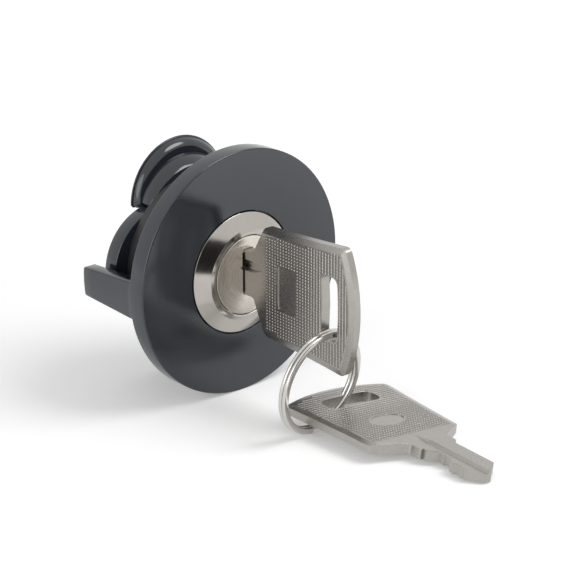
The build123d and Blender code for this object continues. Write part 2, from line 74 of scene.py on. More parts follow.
def meshFrom(name, shape):
    mesh = bpy.data.meshes.new(name)
    shape.to_mesh(mesh)
    shape.free()
    return mesh


def finishNormals(mesh, sharpAngle=32):  # doubles merged, faces outward, smooth with sharp edges kept
    weld, sliver = 0.002, 0.001  # mm: nearer corners are one, and shorter edges go
    shape = bmesh.new()
    shape.from_mesh(mesh)
    bmesh.ops.remove_doubles(shape, verts=shape.verts, dist=weld * mm)
    bmesh.ops.dissolve_degenerate(shape, edges=shape.edges, dist=sliver * mm)
    bmesh.ops.triangulate(shape, faces=[face for face in shape.faces if len(face.verts) > 4])
    bmesh.ops.recalc_face_normals(shape, faces=shape.faces)
    shape.to_mesh(mesh)
    shape.free()
    mesh.shade_smooth()
    mesh.set_sharp_from_angle(angle=radians(sharpAngle))


def bake(piece):  # modifiers become plain mesh
    graph = bpy.context.evaluated_depsgraph_get()
    made = bpy.data.meshes.new_from_object(piece.evaluated_get(graph))
    piece.modifiers.clear()
    piece.data = made


def combine(piece, tools, operation):  # boolean with each tool in turn, tools removed after
    for tool in tools:
        change = piece.modifiers.new("combine", "BOOLEAN")
        change.operation = operation
        change.solver = "EXACT"
        change.object = tool
        bake(piece)
        bpy.data.objects.remove(tool)


def skin(shape, rings, closed=False, capped=False):  # faces from each ring of corners to the next
    for first, second in zip(rings, rings[1:] + (rings[:1] if closed else [])):
        for index in range(len(first)):
            after = (index + 1) % len(first)
            corners = [first[index], first[after], second[after], second[index]]
            face = [corner for place, corner in enumerate(corners) if corner not in corners[:place]]
            if len(face) > 2:  # at a pole the whole ring is one point
                shape.faces.new(face)
    if capped:
        shape.faces.new(rings[0])
        shape.faces.new(rings[-1])


def rounded(corners, steps=6):  # closed loop of (x, y, radius) with each corner turned into an arc
    loop = []
    count = len(corners)
    for index, (x, y, radius) in enumerate(corners):
        if radius <= 0:
            loop.append((x, y))
            continue
        here = Vector((x, y))
        before = (Vector(corners[index - 1][:2]) - here).normalized()
        after = (Vector(corners[(index + 1) % count][:2]) - here).normalized()
        half = before.angle(after) / 2
        reach = radius / tan(half)
        centre = here + (before + after).normalized() * radius / sin(half)
        first = here + before * reach - centre
        last = here + after * reach - centre
        turn = first.angle_signed(last)
        for step in range(steps + 1):
            angle = -turn * step / steps
            loop.append(tuple(centre + Matrix.Rotation(angle, 2) @ first))
    return loop


def circleLoop(x, y, radius, steps=64):
    turns = [2 * pi * step / steps for step in range(steps)]
    return [(x + radius * cos(turn), y + radius * sin(turn)) for turn in turns]


def spun(name, profile, steps=224, closed=True):  # (radius, y) points turned about the lock's axis
    shape = bmesh.new()
    rings = []
    for radius, depth in profile:
        if radius < 1e-6:
            rings.append([shape.verts.new((0, depth * mm, 0))] * steps)
            continue
        corners = [(x * mm, depth * mm, z * mm) for x, z in circleLoop(0, 0, radius, steps)]
        rings.append([shape.verts.new(corner) for corner in corners])
    skin(shape, rings, closed)
    mesh = meshFrom(name, shape)
    finishNormals(mesh)
    return addObject(name, mesh)


def block(name, low, high):  # plain box used only as a cutting tool
    shape = bmesh.new()
    bmesh.ops.create_cube(shape, size=1)
    size = Vector(high) - Vector(low)
    middle = (Vector(high) + Vector(low)) / 2
    seat = Matrix.Translation(middle * mm) @ Matrix.Diagonal((*(size * mm), 1))
    bmesh.ops.transform(shape, matrix=seat, verts=shape.verts)
    return addObject(name, meshFrom(name, shape))


def turned(loop, wanted):  # loop running counter-clockwise (wanted 1) or clockwise (wanted -1)
    area = sum(a[0] * b[1] - b[0] * a[1] for a, b in zip(loop, loop[1:] + loop[:1]))
    return loop if area * wanted > 0 else loop[::-1]


def insetLoop(loop, amount):  # each point moved to the left of the way round
    leastSlant = 0.6  # keeps a sharp corner from being drawn out to a spike
    moved = []
    for before, here, after in zip(loop[-1:] + loop[:-1], loop, loop[1:] + loop[:1]):
        first = (Vector(here) - Vector(before)).normalized()
        second = (Vector(after) - Vector(here)).normalized()
        inward = Vector((-first.y - second.y, first.x + second.x)).normalized()
        slant = max(leastSlant, inward.dot(Vector((-first.y, first.x))))
        moved.append(tuple(Vector(here) + inward * amount / slant))
    return moved


# Flat piece with rounded edges, from its outline and holes, laid in its place by a matrix
def plate(name, outer, holes, low, high, edge, seat, steps=3):
    pointGap = 0.01  # corners nearer than this are one
    loops = []
    for loop, way in [(outer, 1)] + [(hole, -1) for hole in holes]:
        pairs = zip(loop[-1:] + loop[:-1], loop)
        loops.append(turned([here for before, here in pairs if dist(before, here) > pointGap], way))
    profile = [(0, low), (0, high)]
    if edge:
        turns = [pi / 2 * step / steps for step in range(steps + 1)]
        rise = [(edge * (1 - cos(turn)), edge * (1 - sin(turn))) for turn in turns]
        profile = [(inset, low + drop) for inset, drop in rise[::-1]]
        profile += [(inset, high - drop) for inset, drop in rise]
    shape = bmesh.new()
    caps = ([], [])
    for loop in loops:
        rings = []
        for inset, level in profile:
            rings.append([shape.verts.new((x * mm, y * mm, level * mm)) for x, y in insetLoop(loop, inset)])
        skin(shape, rings)
        caps[0].append(rings[0])
        caps[1].append(rings[-1])
    for cap in caps:
        corners = [vertex for ring in cap for vertex in ring]
        for triangle in tessellate_polygon([[vertex.co for vertex in ring] for ring in cap]):
            shape.faces.new([corners[index] for index in triangle])
    mesh = meshFrom(name, shape)
    mesh.transform(seat)
    finishNormals(mesh)
    return addObject(name, mesh)


def seatOf(origin, along, normal):  # matrix of a plane: local X along, local Z normal
    along, normal = Vector(along).normalized(), Vector(normal).normalized()
    across = normal.cross(along)
    turn = Matrix((along, across, normal)).transposed().to_4x4()
    return Matrix.Translation(Vector(origin) * mm) @ turn


frontSeat = seatOf((0, 0, 0), (1, 0, 0), (0, -1, 0))  # X right, Y up, normal toward the viewer
flatSeat = Matrix.Identity(4)


def dress(piece, material, body, slot, *replaced):  # finish, slot (not used), body and the nodes it stands for
    piece.data.materials.clear()
    piece.data.materials.append(material)
    for polygon in piece.data.polygons:
        polygon.material_index = 0
    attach(piece, body)
    if replaced:
        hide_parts(*replaced)
    return piece


# Finishes


def addNode(tree, kind, sockets=(), **settings):  # node with its settings, each socket set or linked
    made = tree.nodes.new(kind)
    for name, value in settings.items():
        setattr(made, name, value)
    for name, value in dict(sockets).items():
        if isinstance(value, bpy.types.NodeSocket):
            tree.links.new(value, made.inputs[name])
        else:
            made.inputs[name].default_value = value
    return made


def newMaterial(name):
    made = bpy.data.materials.new(name)
    made.use_nodes = True
    tree = made.node_tree
    return made, tree, tree.nodes["Principled BSDF"]


def noise(tree, place, scale, detail):
    sockets = {"Vector": place, "Scale": scale, "Detail": detail}
    return addNode(tree, "ShaderNodeTexNoise", sockets).outputs["Fac"]


def spread(tree, source, low, high):  # maps the noise's middle range to low..high
    sockets = {"Value": source, "From Min": 0.3, "From Max": 0.7, "To Min": low, "To Max": high}
    return addNode(tree, "ShaderNodeMapRange", sockets).outputs["Result"]


def tint(tree, source, first, second):
    sockets = {"Factor": source, "A": (*first, 1), "B": (*second, 1)}
    return addNode(tree, "ShaderNodeMix", sockets, data_type="RGBA").outputs["Result"]


def relief(tree, source, height):
    return addNode(tree, "ShaderNodeBump", {"Height": source, "Distance": height}).outputs["Normal"]


def objectPlace(tree):
    return tree.nodes.new("ShaderNodeTexCoord").outputs["Object"]


mouldedValues = {
    "dark": (0.012, 0.017, 0.024),
    "pale": (0.016, 0.021, 0.029),
    "roughLow": 0.09,
    "roughHigh": 0.14,
    "cloudScale": 260,
    "grainScale": 5200,
    "grainHeight": 0.012,  # mm
    "ior": 1.62,
}


def mouldedFinish(name, v):  # dark moulded plastic with a fine spark-eroded grain
    made, tree, shader = newMaterial(name)
    place = objectPlace(tree)
    cloud = noise(tree, place, v["cloudScale"], 4)
    grain = noise(tree, place, v["grainScale"], 2)
    tree.links.new(tint(tree, cloud, v["dark"], v["pale"]), shader.inputs["Base Color"])
    tree.links.new(spread(tree, cloud, v["roughLow"], v["roughHigh"]), shader.inputs["Roughness"])
    tree.links.new(relief(tree, grain, v["grainHeight"] * mm), shader.inputs["Normal"])
    shader.inputs["IOR"].default_value = v["ior"]
    return made


def latheLines(tree, place):  # concentric lines about the lock's axis
    lineScale = 9000
    split = addNode(tree, "ShaderNodeSeparateXYZ", {"Vector": place})
    flat = addNode(tree, "ShaderNodeCombineXYZ", {"X": split.outputs["X"], "Y": split.outputs["Z"]})
    reach = addNode(tree, "ShaderNodeVectorMath", {0: flat.outputs["Vector"]}, operation="LENGTH")
    radial = addNode(tree, "ShaderNodeCombineXYZ", {"X": reach.outputs["Value"], "Y": split.outputs["Y"]})
    return noise(tree, radial.outputs["Vector"], lineScale, 2)


def metalFinish(name, dark, pale, roughLow, roughHigh, height, cloudScale, anisotropy=0):
    made, tree, shader = newMaterial(name)
    place = objectPlace(tree)
    fineness = 12  # the fine noise's scale, in scales of the clouds
    cloud = noise(tree, place, cloudScale, 3 if anisotropy else 4)
    fine = latheLines(tree, place) if anisotropy else noise(tree, place, cloudScale * fineness, 3)
    tree.links.new(tint(tree, cloud, dark, pale), shader.inputs["Base Color"])
    tree.links.new(spread(tree, fine, roughLow, roughHigh), shader.inputs["Roughness"])
    tree.links.new(relief(tree, fine, height * mm), shader.inputs["Normal"])
    shader.inputs["Metallic"].default_value = 1.0
    if anisotropy:
        shader.inputs["Anisotropic"].default_value = anisotropy
        tangent = addNode(tree, "ShaderNodeTangent", direction_type="RADIAL", axis="Y")
        tree.links.new(tangent.outputs["Tangent"], shader.inputs["Tangent"])
    return made


coverFinish = mouldedFinish("coverFinish", mouldedValues)
neckColours = {"dark": (0.004, 0.004, 0.005), "pale": (0.007, 0.007, 0.008)}
neckChanges = {**neckColours, "roughLow": 0.55, "roughHigh": 0.65}
neckFinish = mouldedFinish("neckFinish", {**mouldedValues, **neckChanges})
clawChanges = {"roughLow": 0.08, "roughHigh": 0.13, "grainHeight": 0.001}
clawFinish = mouldedFinish("clawFinish", {**mouldedValues, **clawChanges})
# dark and pale colour, roughness from and to, relief in mm, clouds' scale, turned metal's anisotropy
metalValues = {
    "bezel": ((0.42, 0.395, 0.365), (0.47, 0.445, 0.41), 0.1, 0.15, 0.001, 420, 0.3),
    "core": ((0.62, 0.575, 0.52), (0.68, 0.635, 0.58), 0.22, 0.3, 0.003, 420, 0.85),
    "key": ((0.355, 0.338, 0.315), (0.41, 0.392, 0.368), 0.24, 0.34, 0.002, 600),
    # paler copy of the key's metal, painted highlight on the grip's dots
    "grip": ((0.45, 0.43, 0.405), (0.52, 0.50, 0.47), 0.22, 0.3, 0.002, 900),
    # darker copy of the key's metal, painted shade between the grip's dots
    "paintedShade": ((0.235, 0.22, 0.205), (0.29, 0.275, 0.255), 0.34, 0.44, 0.003, 900),
    "ring": ((0.56, 0.545, 0.52), (0.64, 0.625, 0.60), 0.14, 0.22, 0.001, 700),
    "zinc": ((0.40, 0.41, 0.42), (0.52, 0.53, 0.54), 0.3, 0.45, 0.003, 800),
    "brass": ((0.55, 0.40, 0.16), (0.68, 0.52, 0.24), 0.28, 0.4, 0.003, 900),
    "spring": ((0.36, 0.36, 0.36), (0.45, 0.45, 0.45), 0.25, 0.35, 0.002, 900),
}
metals = {name: metalFinish(name + "Finish", *v) for name, v in metalValues.items()}
print("finishes ready")


# Camera, lights, floor

photoValues = {
    "azimuth": -41.56,
    "elevation": 20.90,
    "lens": 156.25,
    "sensor": 36,
    "clip": (0.01, 20),
    "place": (-298.2, -353.9, 172.2),
}
cameraData = bpy.data.cameras.new("photoCamera")
cameraData.lens = photoValues["lens"]
cameraData.sensor_width = photoValues["sensor"]
cameraData.clip_start, cameraData.clip_end = photoValues["clip"]
camera = bpy.data.objects.new("photoCamera", cameraData)
camera.location = Vector(photoValues["place"]) * mm
camera.rotation_euler = (radians(90 - photoValues["elevation"]), 0, radians(photoValues["azimuth"]))
scene.collection.objects.link(camera)
scene.camera = camera

lightValues = {
    "world": 0.5,
    "background": 1.0,  # what the camera and the polished metal see of the world
    "lamps": [  # name, place in mm, size in mm, strength in W, seen in polished metal
        ("topSoft", (190, -240, 430), 300, 1.2, True),
        ("leftSoft", (-520, -60, 160), 420, 0.9, True),
        ("rightSoft", (420, -420, 260), 560, 0.7, False),
    ],
    "card": (-230, 90, -200, 100),  # black card in front: left, right, depth and top in mm
    "cardColour": (0.01, 0.01, 0.01, 1),
}
floorValues = {
    "level": -25.0,
    "reach": 3000.0,
    "colour": (0.86, 0.86, 0.86, 1),
    "roughness": 0.9,
    "specular": 0.1,
    "near": (80.0, 0.24),  # distance from the lock in mm, and the backdrop's own white there
    "far": (400.0, 0.6),
}
for name, place, size, strength, mirrored in lightValues["lamps"]:
    lampData = bpy.data.lights.new(name, "AREA")
    lampData.shape = "DISK"
    lampData.size = size * mm
    lampData.energy = strength
    lamp = bpy.data.objects.new(name, lampData)
    lamp.location = Vector(place) * mm
    lamp.rotation_euler = (-Vector(place)).to_track_quat("-Z", "Y").to_euler()
    lamp.visible_glossy = mirrored
    scene.collection.objects.link(lamp)


def stageSheet(name, corners, finish):  # one flat face, corners in mm
    mesh = bpy.data.meshes.new(name)
    mesh.from_pydata([tuple(Vector(corner) * mm) for corner in corners], [], [(0, 1, 2, 3)])
    piece = addObject(name, mesh, finish)
    piece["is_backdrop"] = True
    return piece


def seenRays(tree):  # 1 where the camera sees it, itself or through glass or in polished metal
    path = tree.nodes.new("ShaderNodeLightPath")
    mirrored = {0: path.outputs["Is Glossy Ray"], 1: path.outputs["Is Transmission Ray"]}
    through = addNode(tree, "ShaderNodeMath", mirrored, operation="MAXIMUM")
    either = {0: path.outputs["Is Camera Ray"], 1: through.outputs["Value"]}
    return addNode(tree, "ShaderNodeMath", either, operation="MAXIMUM").outputs["Value"]


left, right, depth, top = lightValues["card"]
low = floorValues["level"]
cardFinish, cardTree, cardShader = newMaterial("cardFinish")
cardShader.inputs["Base Color"].default_value = lightValues["cardColour"]
cardShader.inputs["Roughness"].default_value = floorValues["roughness"]
cardCorners = [(x, depth, z) for x, z in ((left, low), (right, low), (right, top), (left, top))]
blackCard = stageSheet("blackCard", cardCorners, cardFinish)
blackCard.visible_camera = False  # only the polished surfaces see it
blackCard.visible_diffuse = False
blackCard.visible_shadow = False

world = bpy.data.worlds.new("studioWorld")
scene.world = world
world.use_nodes = True
worldTree = world.node_tree
background = worldTree.nodes["Background"]
background.inputs["Color"].default_value = (1, 1, 1, 1)
worldRange = {"To Min": lightValues["world"], "To Max": lightValues["background"]}
worldLevel = addNode(worldTree, "ShaderNodeMapRange", {"Value": seenRays(worldTree), **worldRange})
worldTree.links.new(worldLevel.outputs["Result"], background.inputs["Strength"])

reach = floorValues["reach"]
floorFinish, floorTree, floorShader = newMaterial("floorFinish")
floorShader.inputs["Base Color"].default_value = floorValues["colour"]
floorShader.inputs["Roughness"].default_value = floorValues["roughness"]
floorShader.inputs["Specular IOR Level"].default_value = floorValues["specular"]
floorFar = addNode(floorTree, "ShaderNodeVectorMath", {0: objectPlace(floorTree)}, operation="LENGTH")
(nearPlace, nearGlow), (farPlace, farGlow) = floorValues["near"], floorValues["far"]
fadeSockets = {"From Min": nearPlace * mm, "From Max": farPlace * mm, "To Min": nearGlow, "To Max": farGlow}
floorFade = addNode(floorTree, "ShaderNodeMapRange", {"Value": floorFar.outputs["Value"], **fadeSockets})
floorGlow = addNode(floorTree, "ShaderNodeEmission", {"Strength": floorFade.outputs["Result"]})
floorLit = floorShader.outputs["BSDF"]
floorSum = addNode(floorTree, "ShaderNodeAddShader", {0: floorLit, 1: floorGlow.outputs["Emission"]})
pickSockets = {0: seenRays(floorTree), 1: floorLit, 2: floorSum.outputs["Shader"]}
floorPick = addNode(floorTree, "ShaderNodeMixShader", pickSockets)
floorTree.links.new(floorPick.outputs["Shader"], floorTree.nodes["Material Output"].inputs["Surface"])
floorCorners = [(-reach, -reach, low), (reach, -reach, low), (reach, reach, low), (-reach, reach, low)]
stageSheet("floor", floorCorners, floorFinish)
print("camera and lights ready")


# Cover with its tab

coverValues = {
    "radius": 25.0,
    "thickness": 4.0,
    "rimRound": 0.3,
    "sinkRadius": 12.6,
    "sinkRound": 0.12,
    "seat": -1.8,
    "hole": 9.6,
    "tabInner": -22.0,
    "tabInset": 0.01,  # the tab's outer face lies this far inside the rim
    "tabReach": 14.6,
    "tabRoot": (-4.8, 3.0),
    "tabTip": (-3.9, 2.1),
    "tabRound": 0.35,
    "tabSharp": 50,  # degrees, and only a sharper edge is rounded
    "tabGrid": (6, 10),
}


def gridRim(grid):  # the corners round a grid's edge
    right = [line[-1] for line in grid[1:]]
    left = [line[0] for line in grid[-2:0:-1]]
    return grid[0] + right + grid[-1][-2::-1] + left


def tabPiece(v):  # a tapered slab whose outer face follows the cover's rim
    shape = bmesh.new()
    rows, columns = v["tabGrid"]
    start = -v["thickness"] / 2
    sides = []
    for outer in (True, False):
        grid = []
        for row in range(rows + 1):
            depth = start + (v["tabReach"] - start) * row / rows
            taper = max(0, depth) / v["tabReach"]
            low, high = [root + (tip - root) * taper for root, tip in zip(v["tabRoot"], v["tabTip"])]
            line = []
            for column in range(columns + 1):
                height = low + (high - low) * column / columns
                rim = -sqrt((v["radius"] - v["tabInset"]) ** 2 - height**2)
                x = rim if outer else v["tabInner"]
                line.append(shape.verts.new((x * mm, depth * mm, height * mm)))
            grid.append(line)
        for first, second in zip(grid, grid[1:]):
            for column in range(columns):
                shape.faces.new((first[column], second[column], second[column + 1], first[column + 1]))
        sides.append(grid)
    skin(shape, [gridRim(grid) for grid in sides])
    mesh = meshFrom("tab", shape)
    finishNormals(mesh)
    tab = addObject("tab", mesh)
    softened = tab.modifiers.new("softened", "BEVEL")
    softened.width = v["tabRound"] * mm
    softened.segments = 3
    softened.limit_method = "ANGLE"
    softened.angle_limit = radians(v["tabSharp"])
    bake(tab)
    return tab


def coverPiece(v):
    front = -v["thickness"]
    profile = [
        (v["hole"], 0, 0),
        (v["radius"], 0, v["rimRound"]),
        (v["radius"], front, v["rimRound"]),
        (v["sinkRadius"], front, v["sinkRound"]),
        (v["sinkRadius"], v["seat"], 0),
        (v["hole"], v["seat"], 0),
    ]
    body = spun("coverDisc", rounded(profile), 288)
    combine(body, [tabPiece(v)], "UNION")
    finishNormals(body.data)
    dress(body, coverFinish, "housing", "cover_finish", "cover_disc")


coverPiece(coverValues)
print("cover made")


# Bezel and barrel

barrelValues = {
    "bore": 6.3,
    "faceBore": 8.16,
    "faceDepth": -4.3,
    "face": -5.85,
    "faceRound": 0.14,
    "ring": 8.65,
    "ringRound": 0.2,
    "coneTop": (9.37, -5.68, 0.25),  # radius, depth, round
    "coneFoot": (12.3, -4.0, 0.12),
    "seat": -1.8,
    "shaft": 9.5,
    "end": 9.2,
    "endRound": 0.3,
}


def barrelPiece(v):
    profile = [
        (v["bore"], v["end"], 0),
        (v["bore"], v["faceDepth"], 0),
        (v["faceBore"], v["faceDepth"], 0),
        (v["faceBore"], v["face"], v["faceRound"]),
        (v["ring"], v["face"], v["ringRound"]),
        v["coneTop"],
        v["coneFoot"],
        (v["coneFoot"][0], v["seat"], 0),
        (v["shaft"], v["seat"], 0),
        (v["shaft"], v["end"], v["endRound"]),
    ]
    dress(spun("bezelAndBarrel", rounded(profile), 288), metals["bezel"], "housing", "nickel", "lock_barrel")


barrelPiece(barrelValues)

neckValues = {"radius": 17.5, "pocket": 14.2, "floor": 3.0, "hole": 9.6, "length": 10.25, "endRound": 0.2}


def neckPiece(v):
    profile = [
        (v["hole"], 0, 0),
        (v["radius"], 0, 0),
        (v["radius"], v["length"], v["endRound"]),
        (v["pocket"], v["length"], 0),
        (v["pocket"], v["floor"], 0),
        (v["hole"], v["floor"], 0),
    ]
    dress(spun("neckSleeve", rounded(profile), 192), neckFinish, "housing", "neck_finish", "neck_sleeve")


neckPiece(neckValues)
print("barrel and neck made")


# Guide plate and its screws

plateValues = {
    "length": 40.8,
    "height": 24.0,
    "front": 10.25,
    "back": 13.55,
    "edge": 0.22,
    "hole": 6.5,
    "channel": 10.2,
    "channelFloor": 11.55,
    "screwSpan": 30.51,
    "screwRise": 8.6,
    "screwHole": 1.1,
    "screwEnd": -2.2,
    "shankGap": 0.15,
    "headRadius": 2.0,
    "headDepth": 1.1,
    "headRoom": 0.1,
    "headRound": (0.08, 0.1),  # the head's rim, in and down
    "drive": (0.65, 0.6),  # radius and depth of the six-sided drive
}


def guidePlatePiece(v):
    half = v["height"] / 2
    offset = v["length"] / 2 - half
    outer = []
    for side in (1, -1):
        turns = [-pi / 2 + pi * step / 60 for step in range(61)]
        outer += [(side * (offset + half * cos(turn)), side * half * sin(turn)) for turn in turns]
    hole = circleLoop(0, 0, v["hole"])
    piece = plate("guidePlate", outer, [hole], -v["back"], -v["front"], v["edge"], frontSeat)
    back, reach, wide = v["back"], v["height"], v["channel"] / 2
    channel = block("channel", (-wide, v["channelFloor"], -reach), (wide, back + 1, reach))
    combine(piece, [channel], "DIFFERENCE")
    head, shank, over = v["headRadius"] + v["headRoom"], v["screwHole"], 0.5
    profile = [
        (0, back + over),
        (head, back + over),
        (head, back),
        (shank, back - v["headDepth"]),
        (shank, v["front"] - over),
        (0, v["front"] - over),
    ]
    for x in (-1, 1):
        for z in (-1, 1):
            sink = spun("sink", profile, 48, closed=False)
            place = (x * v["screwSpan"] / 2 * mm, 0, z * v["screwRise"] / 2 * mm)
            sink.data.transform(Matrix.Translation(place))
            combine(piece, [sink], "DIFFERENCE")
    finishNormals(piece.data)
    dress(piece, coverFinish, "housing", "cover_finish", "guide_plate")


guidePlatePiece(plateValues)


def setInputs(change, tree, settings):  # a modifier's inputs, found by their sockets' names
    found = {item.name: item.identifier for item in tree.interface.items_tree}
    for name, value in settings.items():
        change[found[name]] = value


def newTree(name, numbers, objects):  # Geometry Nodes tree with its named inputs and one output
    tree = bpy.data.node_groups.new(name, "GeometryNodeTree")
    for names, kind in ((numbers, "NodeSocketFloat"), (objects, "NodeSocketObject")):
        for socket in names:
            tree.interface.new_socket(socket, in_out="INPUT", socket_type=kind)
    tree.interface.new_socket("Geometry", in_out="OUTPUT", socket_type="NodeSocketGeometry")
    return tree, tree.nodes.new("NodeGroupInput").outputs


def endTree(tree, copies, material):  # instances made real, in one material
    real = addNode(tree, "GeometryNodeRealizeInstances", {"Geometry": copies})
    coatSockets = {"Geometry": real.outputs["Geometry"], "Material": material}
    coat = addNode(tree, "GeometryNodeSetMaterial", coatSockets)
    addNode(tree, "NodeGroupOutput", {"Geometry": coat.outputs["Geometry"]})


def screwShape(v):  # one countersunk screw with a six-sided drive, about the Y axis
    back, shank = v["back"], v["screwHole"] - v["shankGap"]
    inward, down = v["headRound"]
    profile = [
        (0, back),
        (v["headRadius"] - inward, back),
        (v["headRadius"], back - down),
        (shank, back - v["headDepth"]),
        (shank, v["screwEnd"]),
        (0, v["screwEnd"]),
    ]
    made = spun("screwShape", profile, 40, closed=False)
    wide, deep = v["drive"]
    hexagon = [(0, back + deep), (wide, back + deep), (wide, back - deep), (0, back - deep)]
    combine(made, [spun("drive", hexagon, 6, closed=False)], "DIFFERENCE")
    finishNormals(made.data)
    return made


def screwTree(material):  # the same screw at the corners of a rectangle
    tree, given = newTree("platedScrews", ("Span", "Rise"), ("Screw",))
    gridSockets = {"Size X": given["Span"], "Size Y": given["Rise"], "Vertices X": 2, "Vertices Y": 2}
    grid = addNode(tree, "GeometryNodeMeshGrid", gridSockets)
    uprightSockets = {"Geometry": grid.outputs["Mesh"], "Rotation": (pi / 2, 0, 0)}
    upright = addNode(tree, "GeometryNodeTransform", uprightSockets)
    source = addNode(tree, "GeometryNodeObjectInfo", {"Object": given["Screw"]})
    copySockets = {"Points": upright.outputs["Geometry"], "Instance": source.outputs["Geometry"]}
    copies = addNode(tree, "GeometryNodeInstanceOnPoints", copySockets)
    endTree(tree, copies.outputs["Instances"], material)
    return tree


def guidePlateScrews(v):
    shape = screwShape(v)
    tree = screwTree(metals["zinc"])
    piece = addObject("guidePlateScrews", bpy.data.meshes.new("guidePlateScrews"))
    change = piece.modifiers.new("screws", "NODES")
    change.node_group = tree
    settings = {"Span": v["screwSpan"] * mm, "Rise": v["screwRise"] * mm, "Screw": shape}
    setInputs(change, tree, settings)
    bake(piece)
    bpy.data.objects.remove(shape)
    finishNormals(piece.data)
    dress(piece, metals["zinc"], "housing", "zinc_steel", "guide_plate_screws")


guidePlateScrews(plateValues)
print("guide plate made")


# Core of the lock

coreValues = {
    "face": -5.85,
    "faceRadius": 7.98,
    "shoulder": -4.35,
    "radius": 6.25,
    "bodyEnd": 11.0,
    "tail": 3.2,
    "tailEnd": 13.75,
    "square": 4.4,
    "squareEnd": 15.7,
    "keyHalf": 1.2,
    "keyLow": -3.2,
    "keyHigh": 4.5,
    "keyEnd": 8.5,
    "pocketLow": -3.9,
    "pocketHigh": 5.6,
    "pocketEnd": -5.5,
    "ridges": [(1, -0.8, 0.3), (-1, 1.95, 3.05)],  # side of the keyway, bottom and top
    "ridgeReach": 0.4,
    "notches": [(-1.5, 1.9, 4.9), (-1.8, 1.5, 2.05), (-1.4, -3.4, 1.6)],  # left side, bottom and top
    "notchEnd": -3.4,
    "notchOverlap": 0.3,
    "faceRound": 0.1,
    "bodyRound": 0.2,
}


def corePiece(v):
    profile = [
        (v["faceRadius"], v["face"], v["faceRound"]),
        (v["faceRadius"], v["shoulder"], 0),
        (v["radius"], v["shoulder"], 0),
        (v["radius"], v["bodyEnd"], v["bodyRound"]),
        (v["tail"], v["bodyEnd"], 0),
        (v["tail"], v["tailEnd"], 0),
        (0, v["tailEnd"], 0),
        (0, v["face"], 0),
    ]
    piece = spun("corePlug", [(0, v["face"])] + rounded(profile)[:-1], 256, closed=False)
    half, over = v["square"] / 2, 0.5
    square = block("square", (-half, v["tailEnd"] - over, -half), (half, v["squareEnd"], half))
    combine(piece, [square], "UNION")
    wide, front = v["keyHalf"], v["face"] - 1
    way = block("way", (-wide, front, v["keyLow"]), (wide, v["keyEnd"], v["keyHigh"]))
    for side, low, high in v["ridges"]:
        left, right = sorted((side * (wide - v["ridgeReach"]), side * (wide + 1)))
        ridge = block("ridge", (left, front - 1, low), (right, v["keyEnd"] + 1, high))
        combine(way, [ridge], "DIFFERENCE")
    pocket = block("pocket", (-wide, front, v["pocketLow"]), (wide, v["pocketEnd"], v["pocketHigh"]))
    inside = wide - v["notchOverlap"]
    notches = [
        block("notch", (left, front - over, low), (inside, v["notchEnd"], high))
        for left, low, high in v["notches"]
    ]
    combine(piece, [way, pocket, *notches], "DIFFERENCE")
    finishNormals(piece.data)
    dress(piece, metals["core"], "core", "nickel", "core_plug")


corePiece(coreValues)
carriedFinishes = {
    "wafer_springs": metals["spring"],
    "core_clip": metals["spring"],
    "barrel_washer": metals["zinc"],
    "barrel_nut": metals["zinc"],
    **{"wafer_" + str(count): metals["brass"] for count in range(1, 6)},
}
for name, finish in carriedFinishes.items():
    nodes[name].data.materials[0] = finish
print("core made")


# Scroll disc, its washer and screw

scrollValues = {
    "radius": 10.8,
    "front": 13.75,
    "back": 15.75,
    "square": 4.45,
    "pinPlace": 5.4,
    "travel": 2.8,
    "slotHalf": 1.45,
    "edge": 0.15,
    "washerBack": 16.35,
    "washerRadius": 3.6,
    "headRadius": 2.7,
    "headBack": 17.85,
    "headRound": 0.7,
    "shank": 1.25,
    "shankEnd": 11.4,
    "shankRoom": 0.2,
    "washerRound": 0.1,
    "cross": (0.95, 0.25, 0.75),  # half length, half width and depth of the cross drive
}


def spiralSlot(v, start, steps=24, capSteps=12):  # its radius grows evenly over a quarter turn
    edges = []
    for side in (v["slotHalf"], -v["slotHalf"]):
        edge = []
        for step in range(steps + 1):
            share = step / steps
            angle, reach = radians(start) + share * pi / 2, v["pinPlace"] + share * v["travel"] + side
            edge.append((reach * cos(angle), reach * sin(angle)))
        edges.append(edge)
    outer, inner = edges
    caps = []
    for first, last in ((outer[-1], inner[-1]), (inner[0], outer[0])):
        middle = (Vector(first) + Vector(last)) / 2
        arm = Vector(first) - middle
        turns = [pi * step / capSteps for step in range(1, capSteps)]
        caps.append([tuple(middle + Matrix.Rotation(turn, 2) @ arm) for turn in turns])
    return outer + caps[0] + inner[::-1] + caps[1]


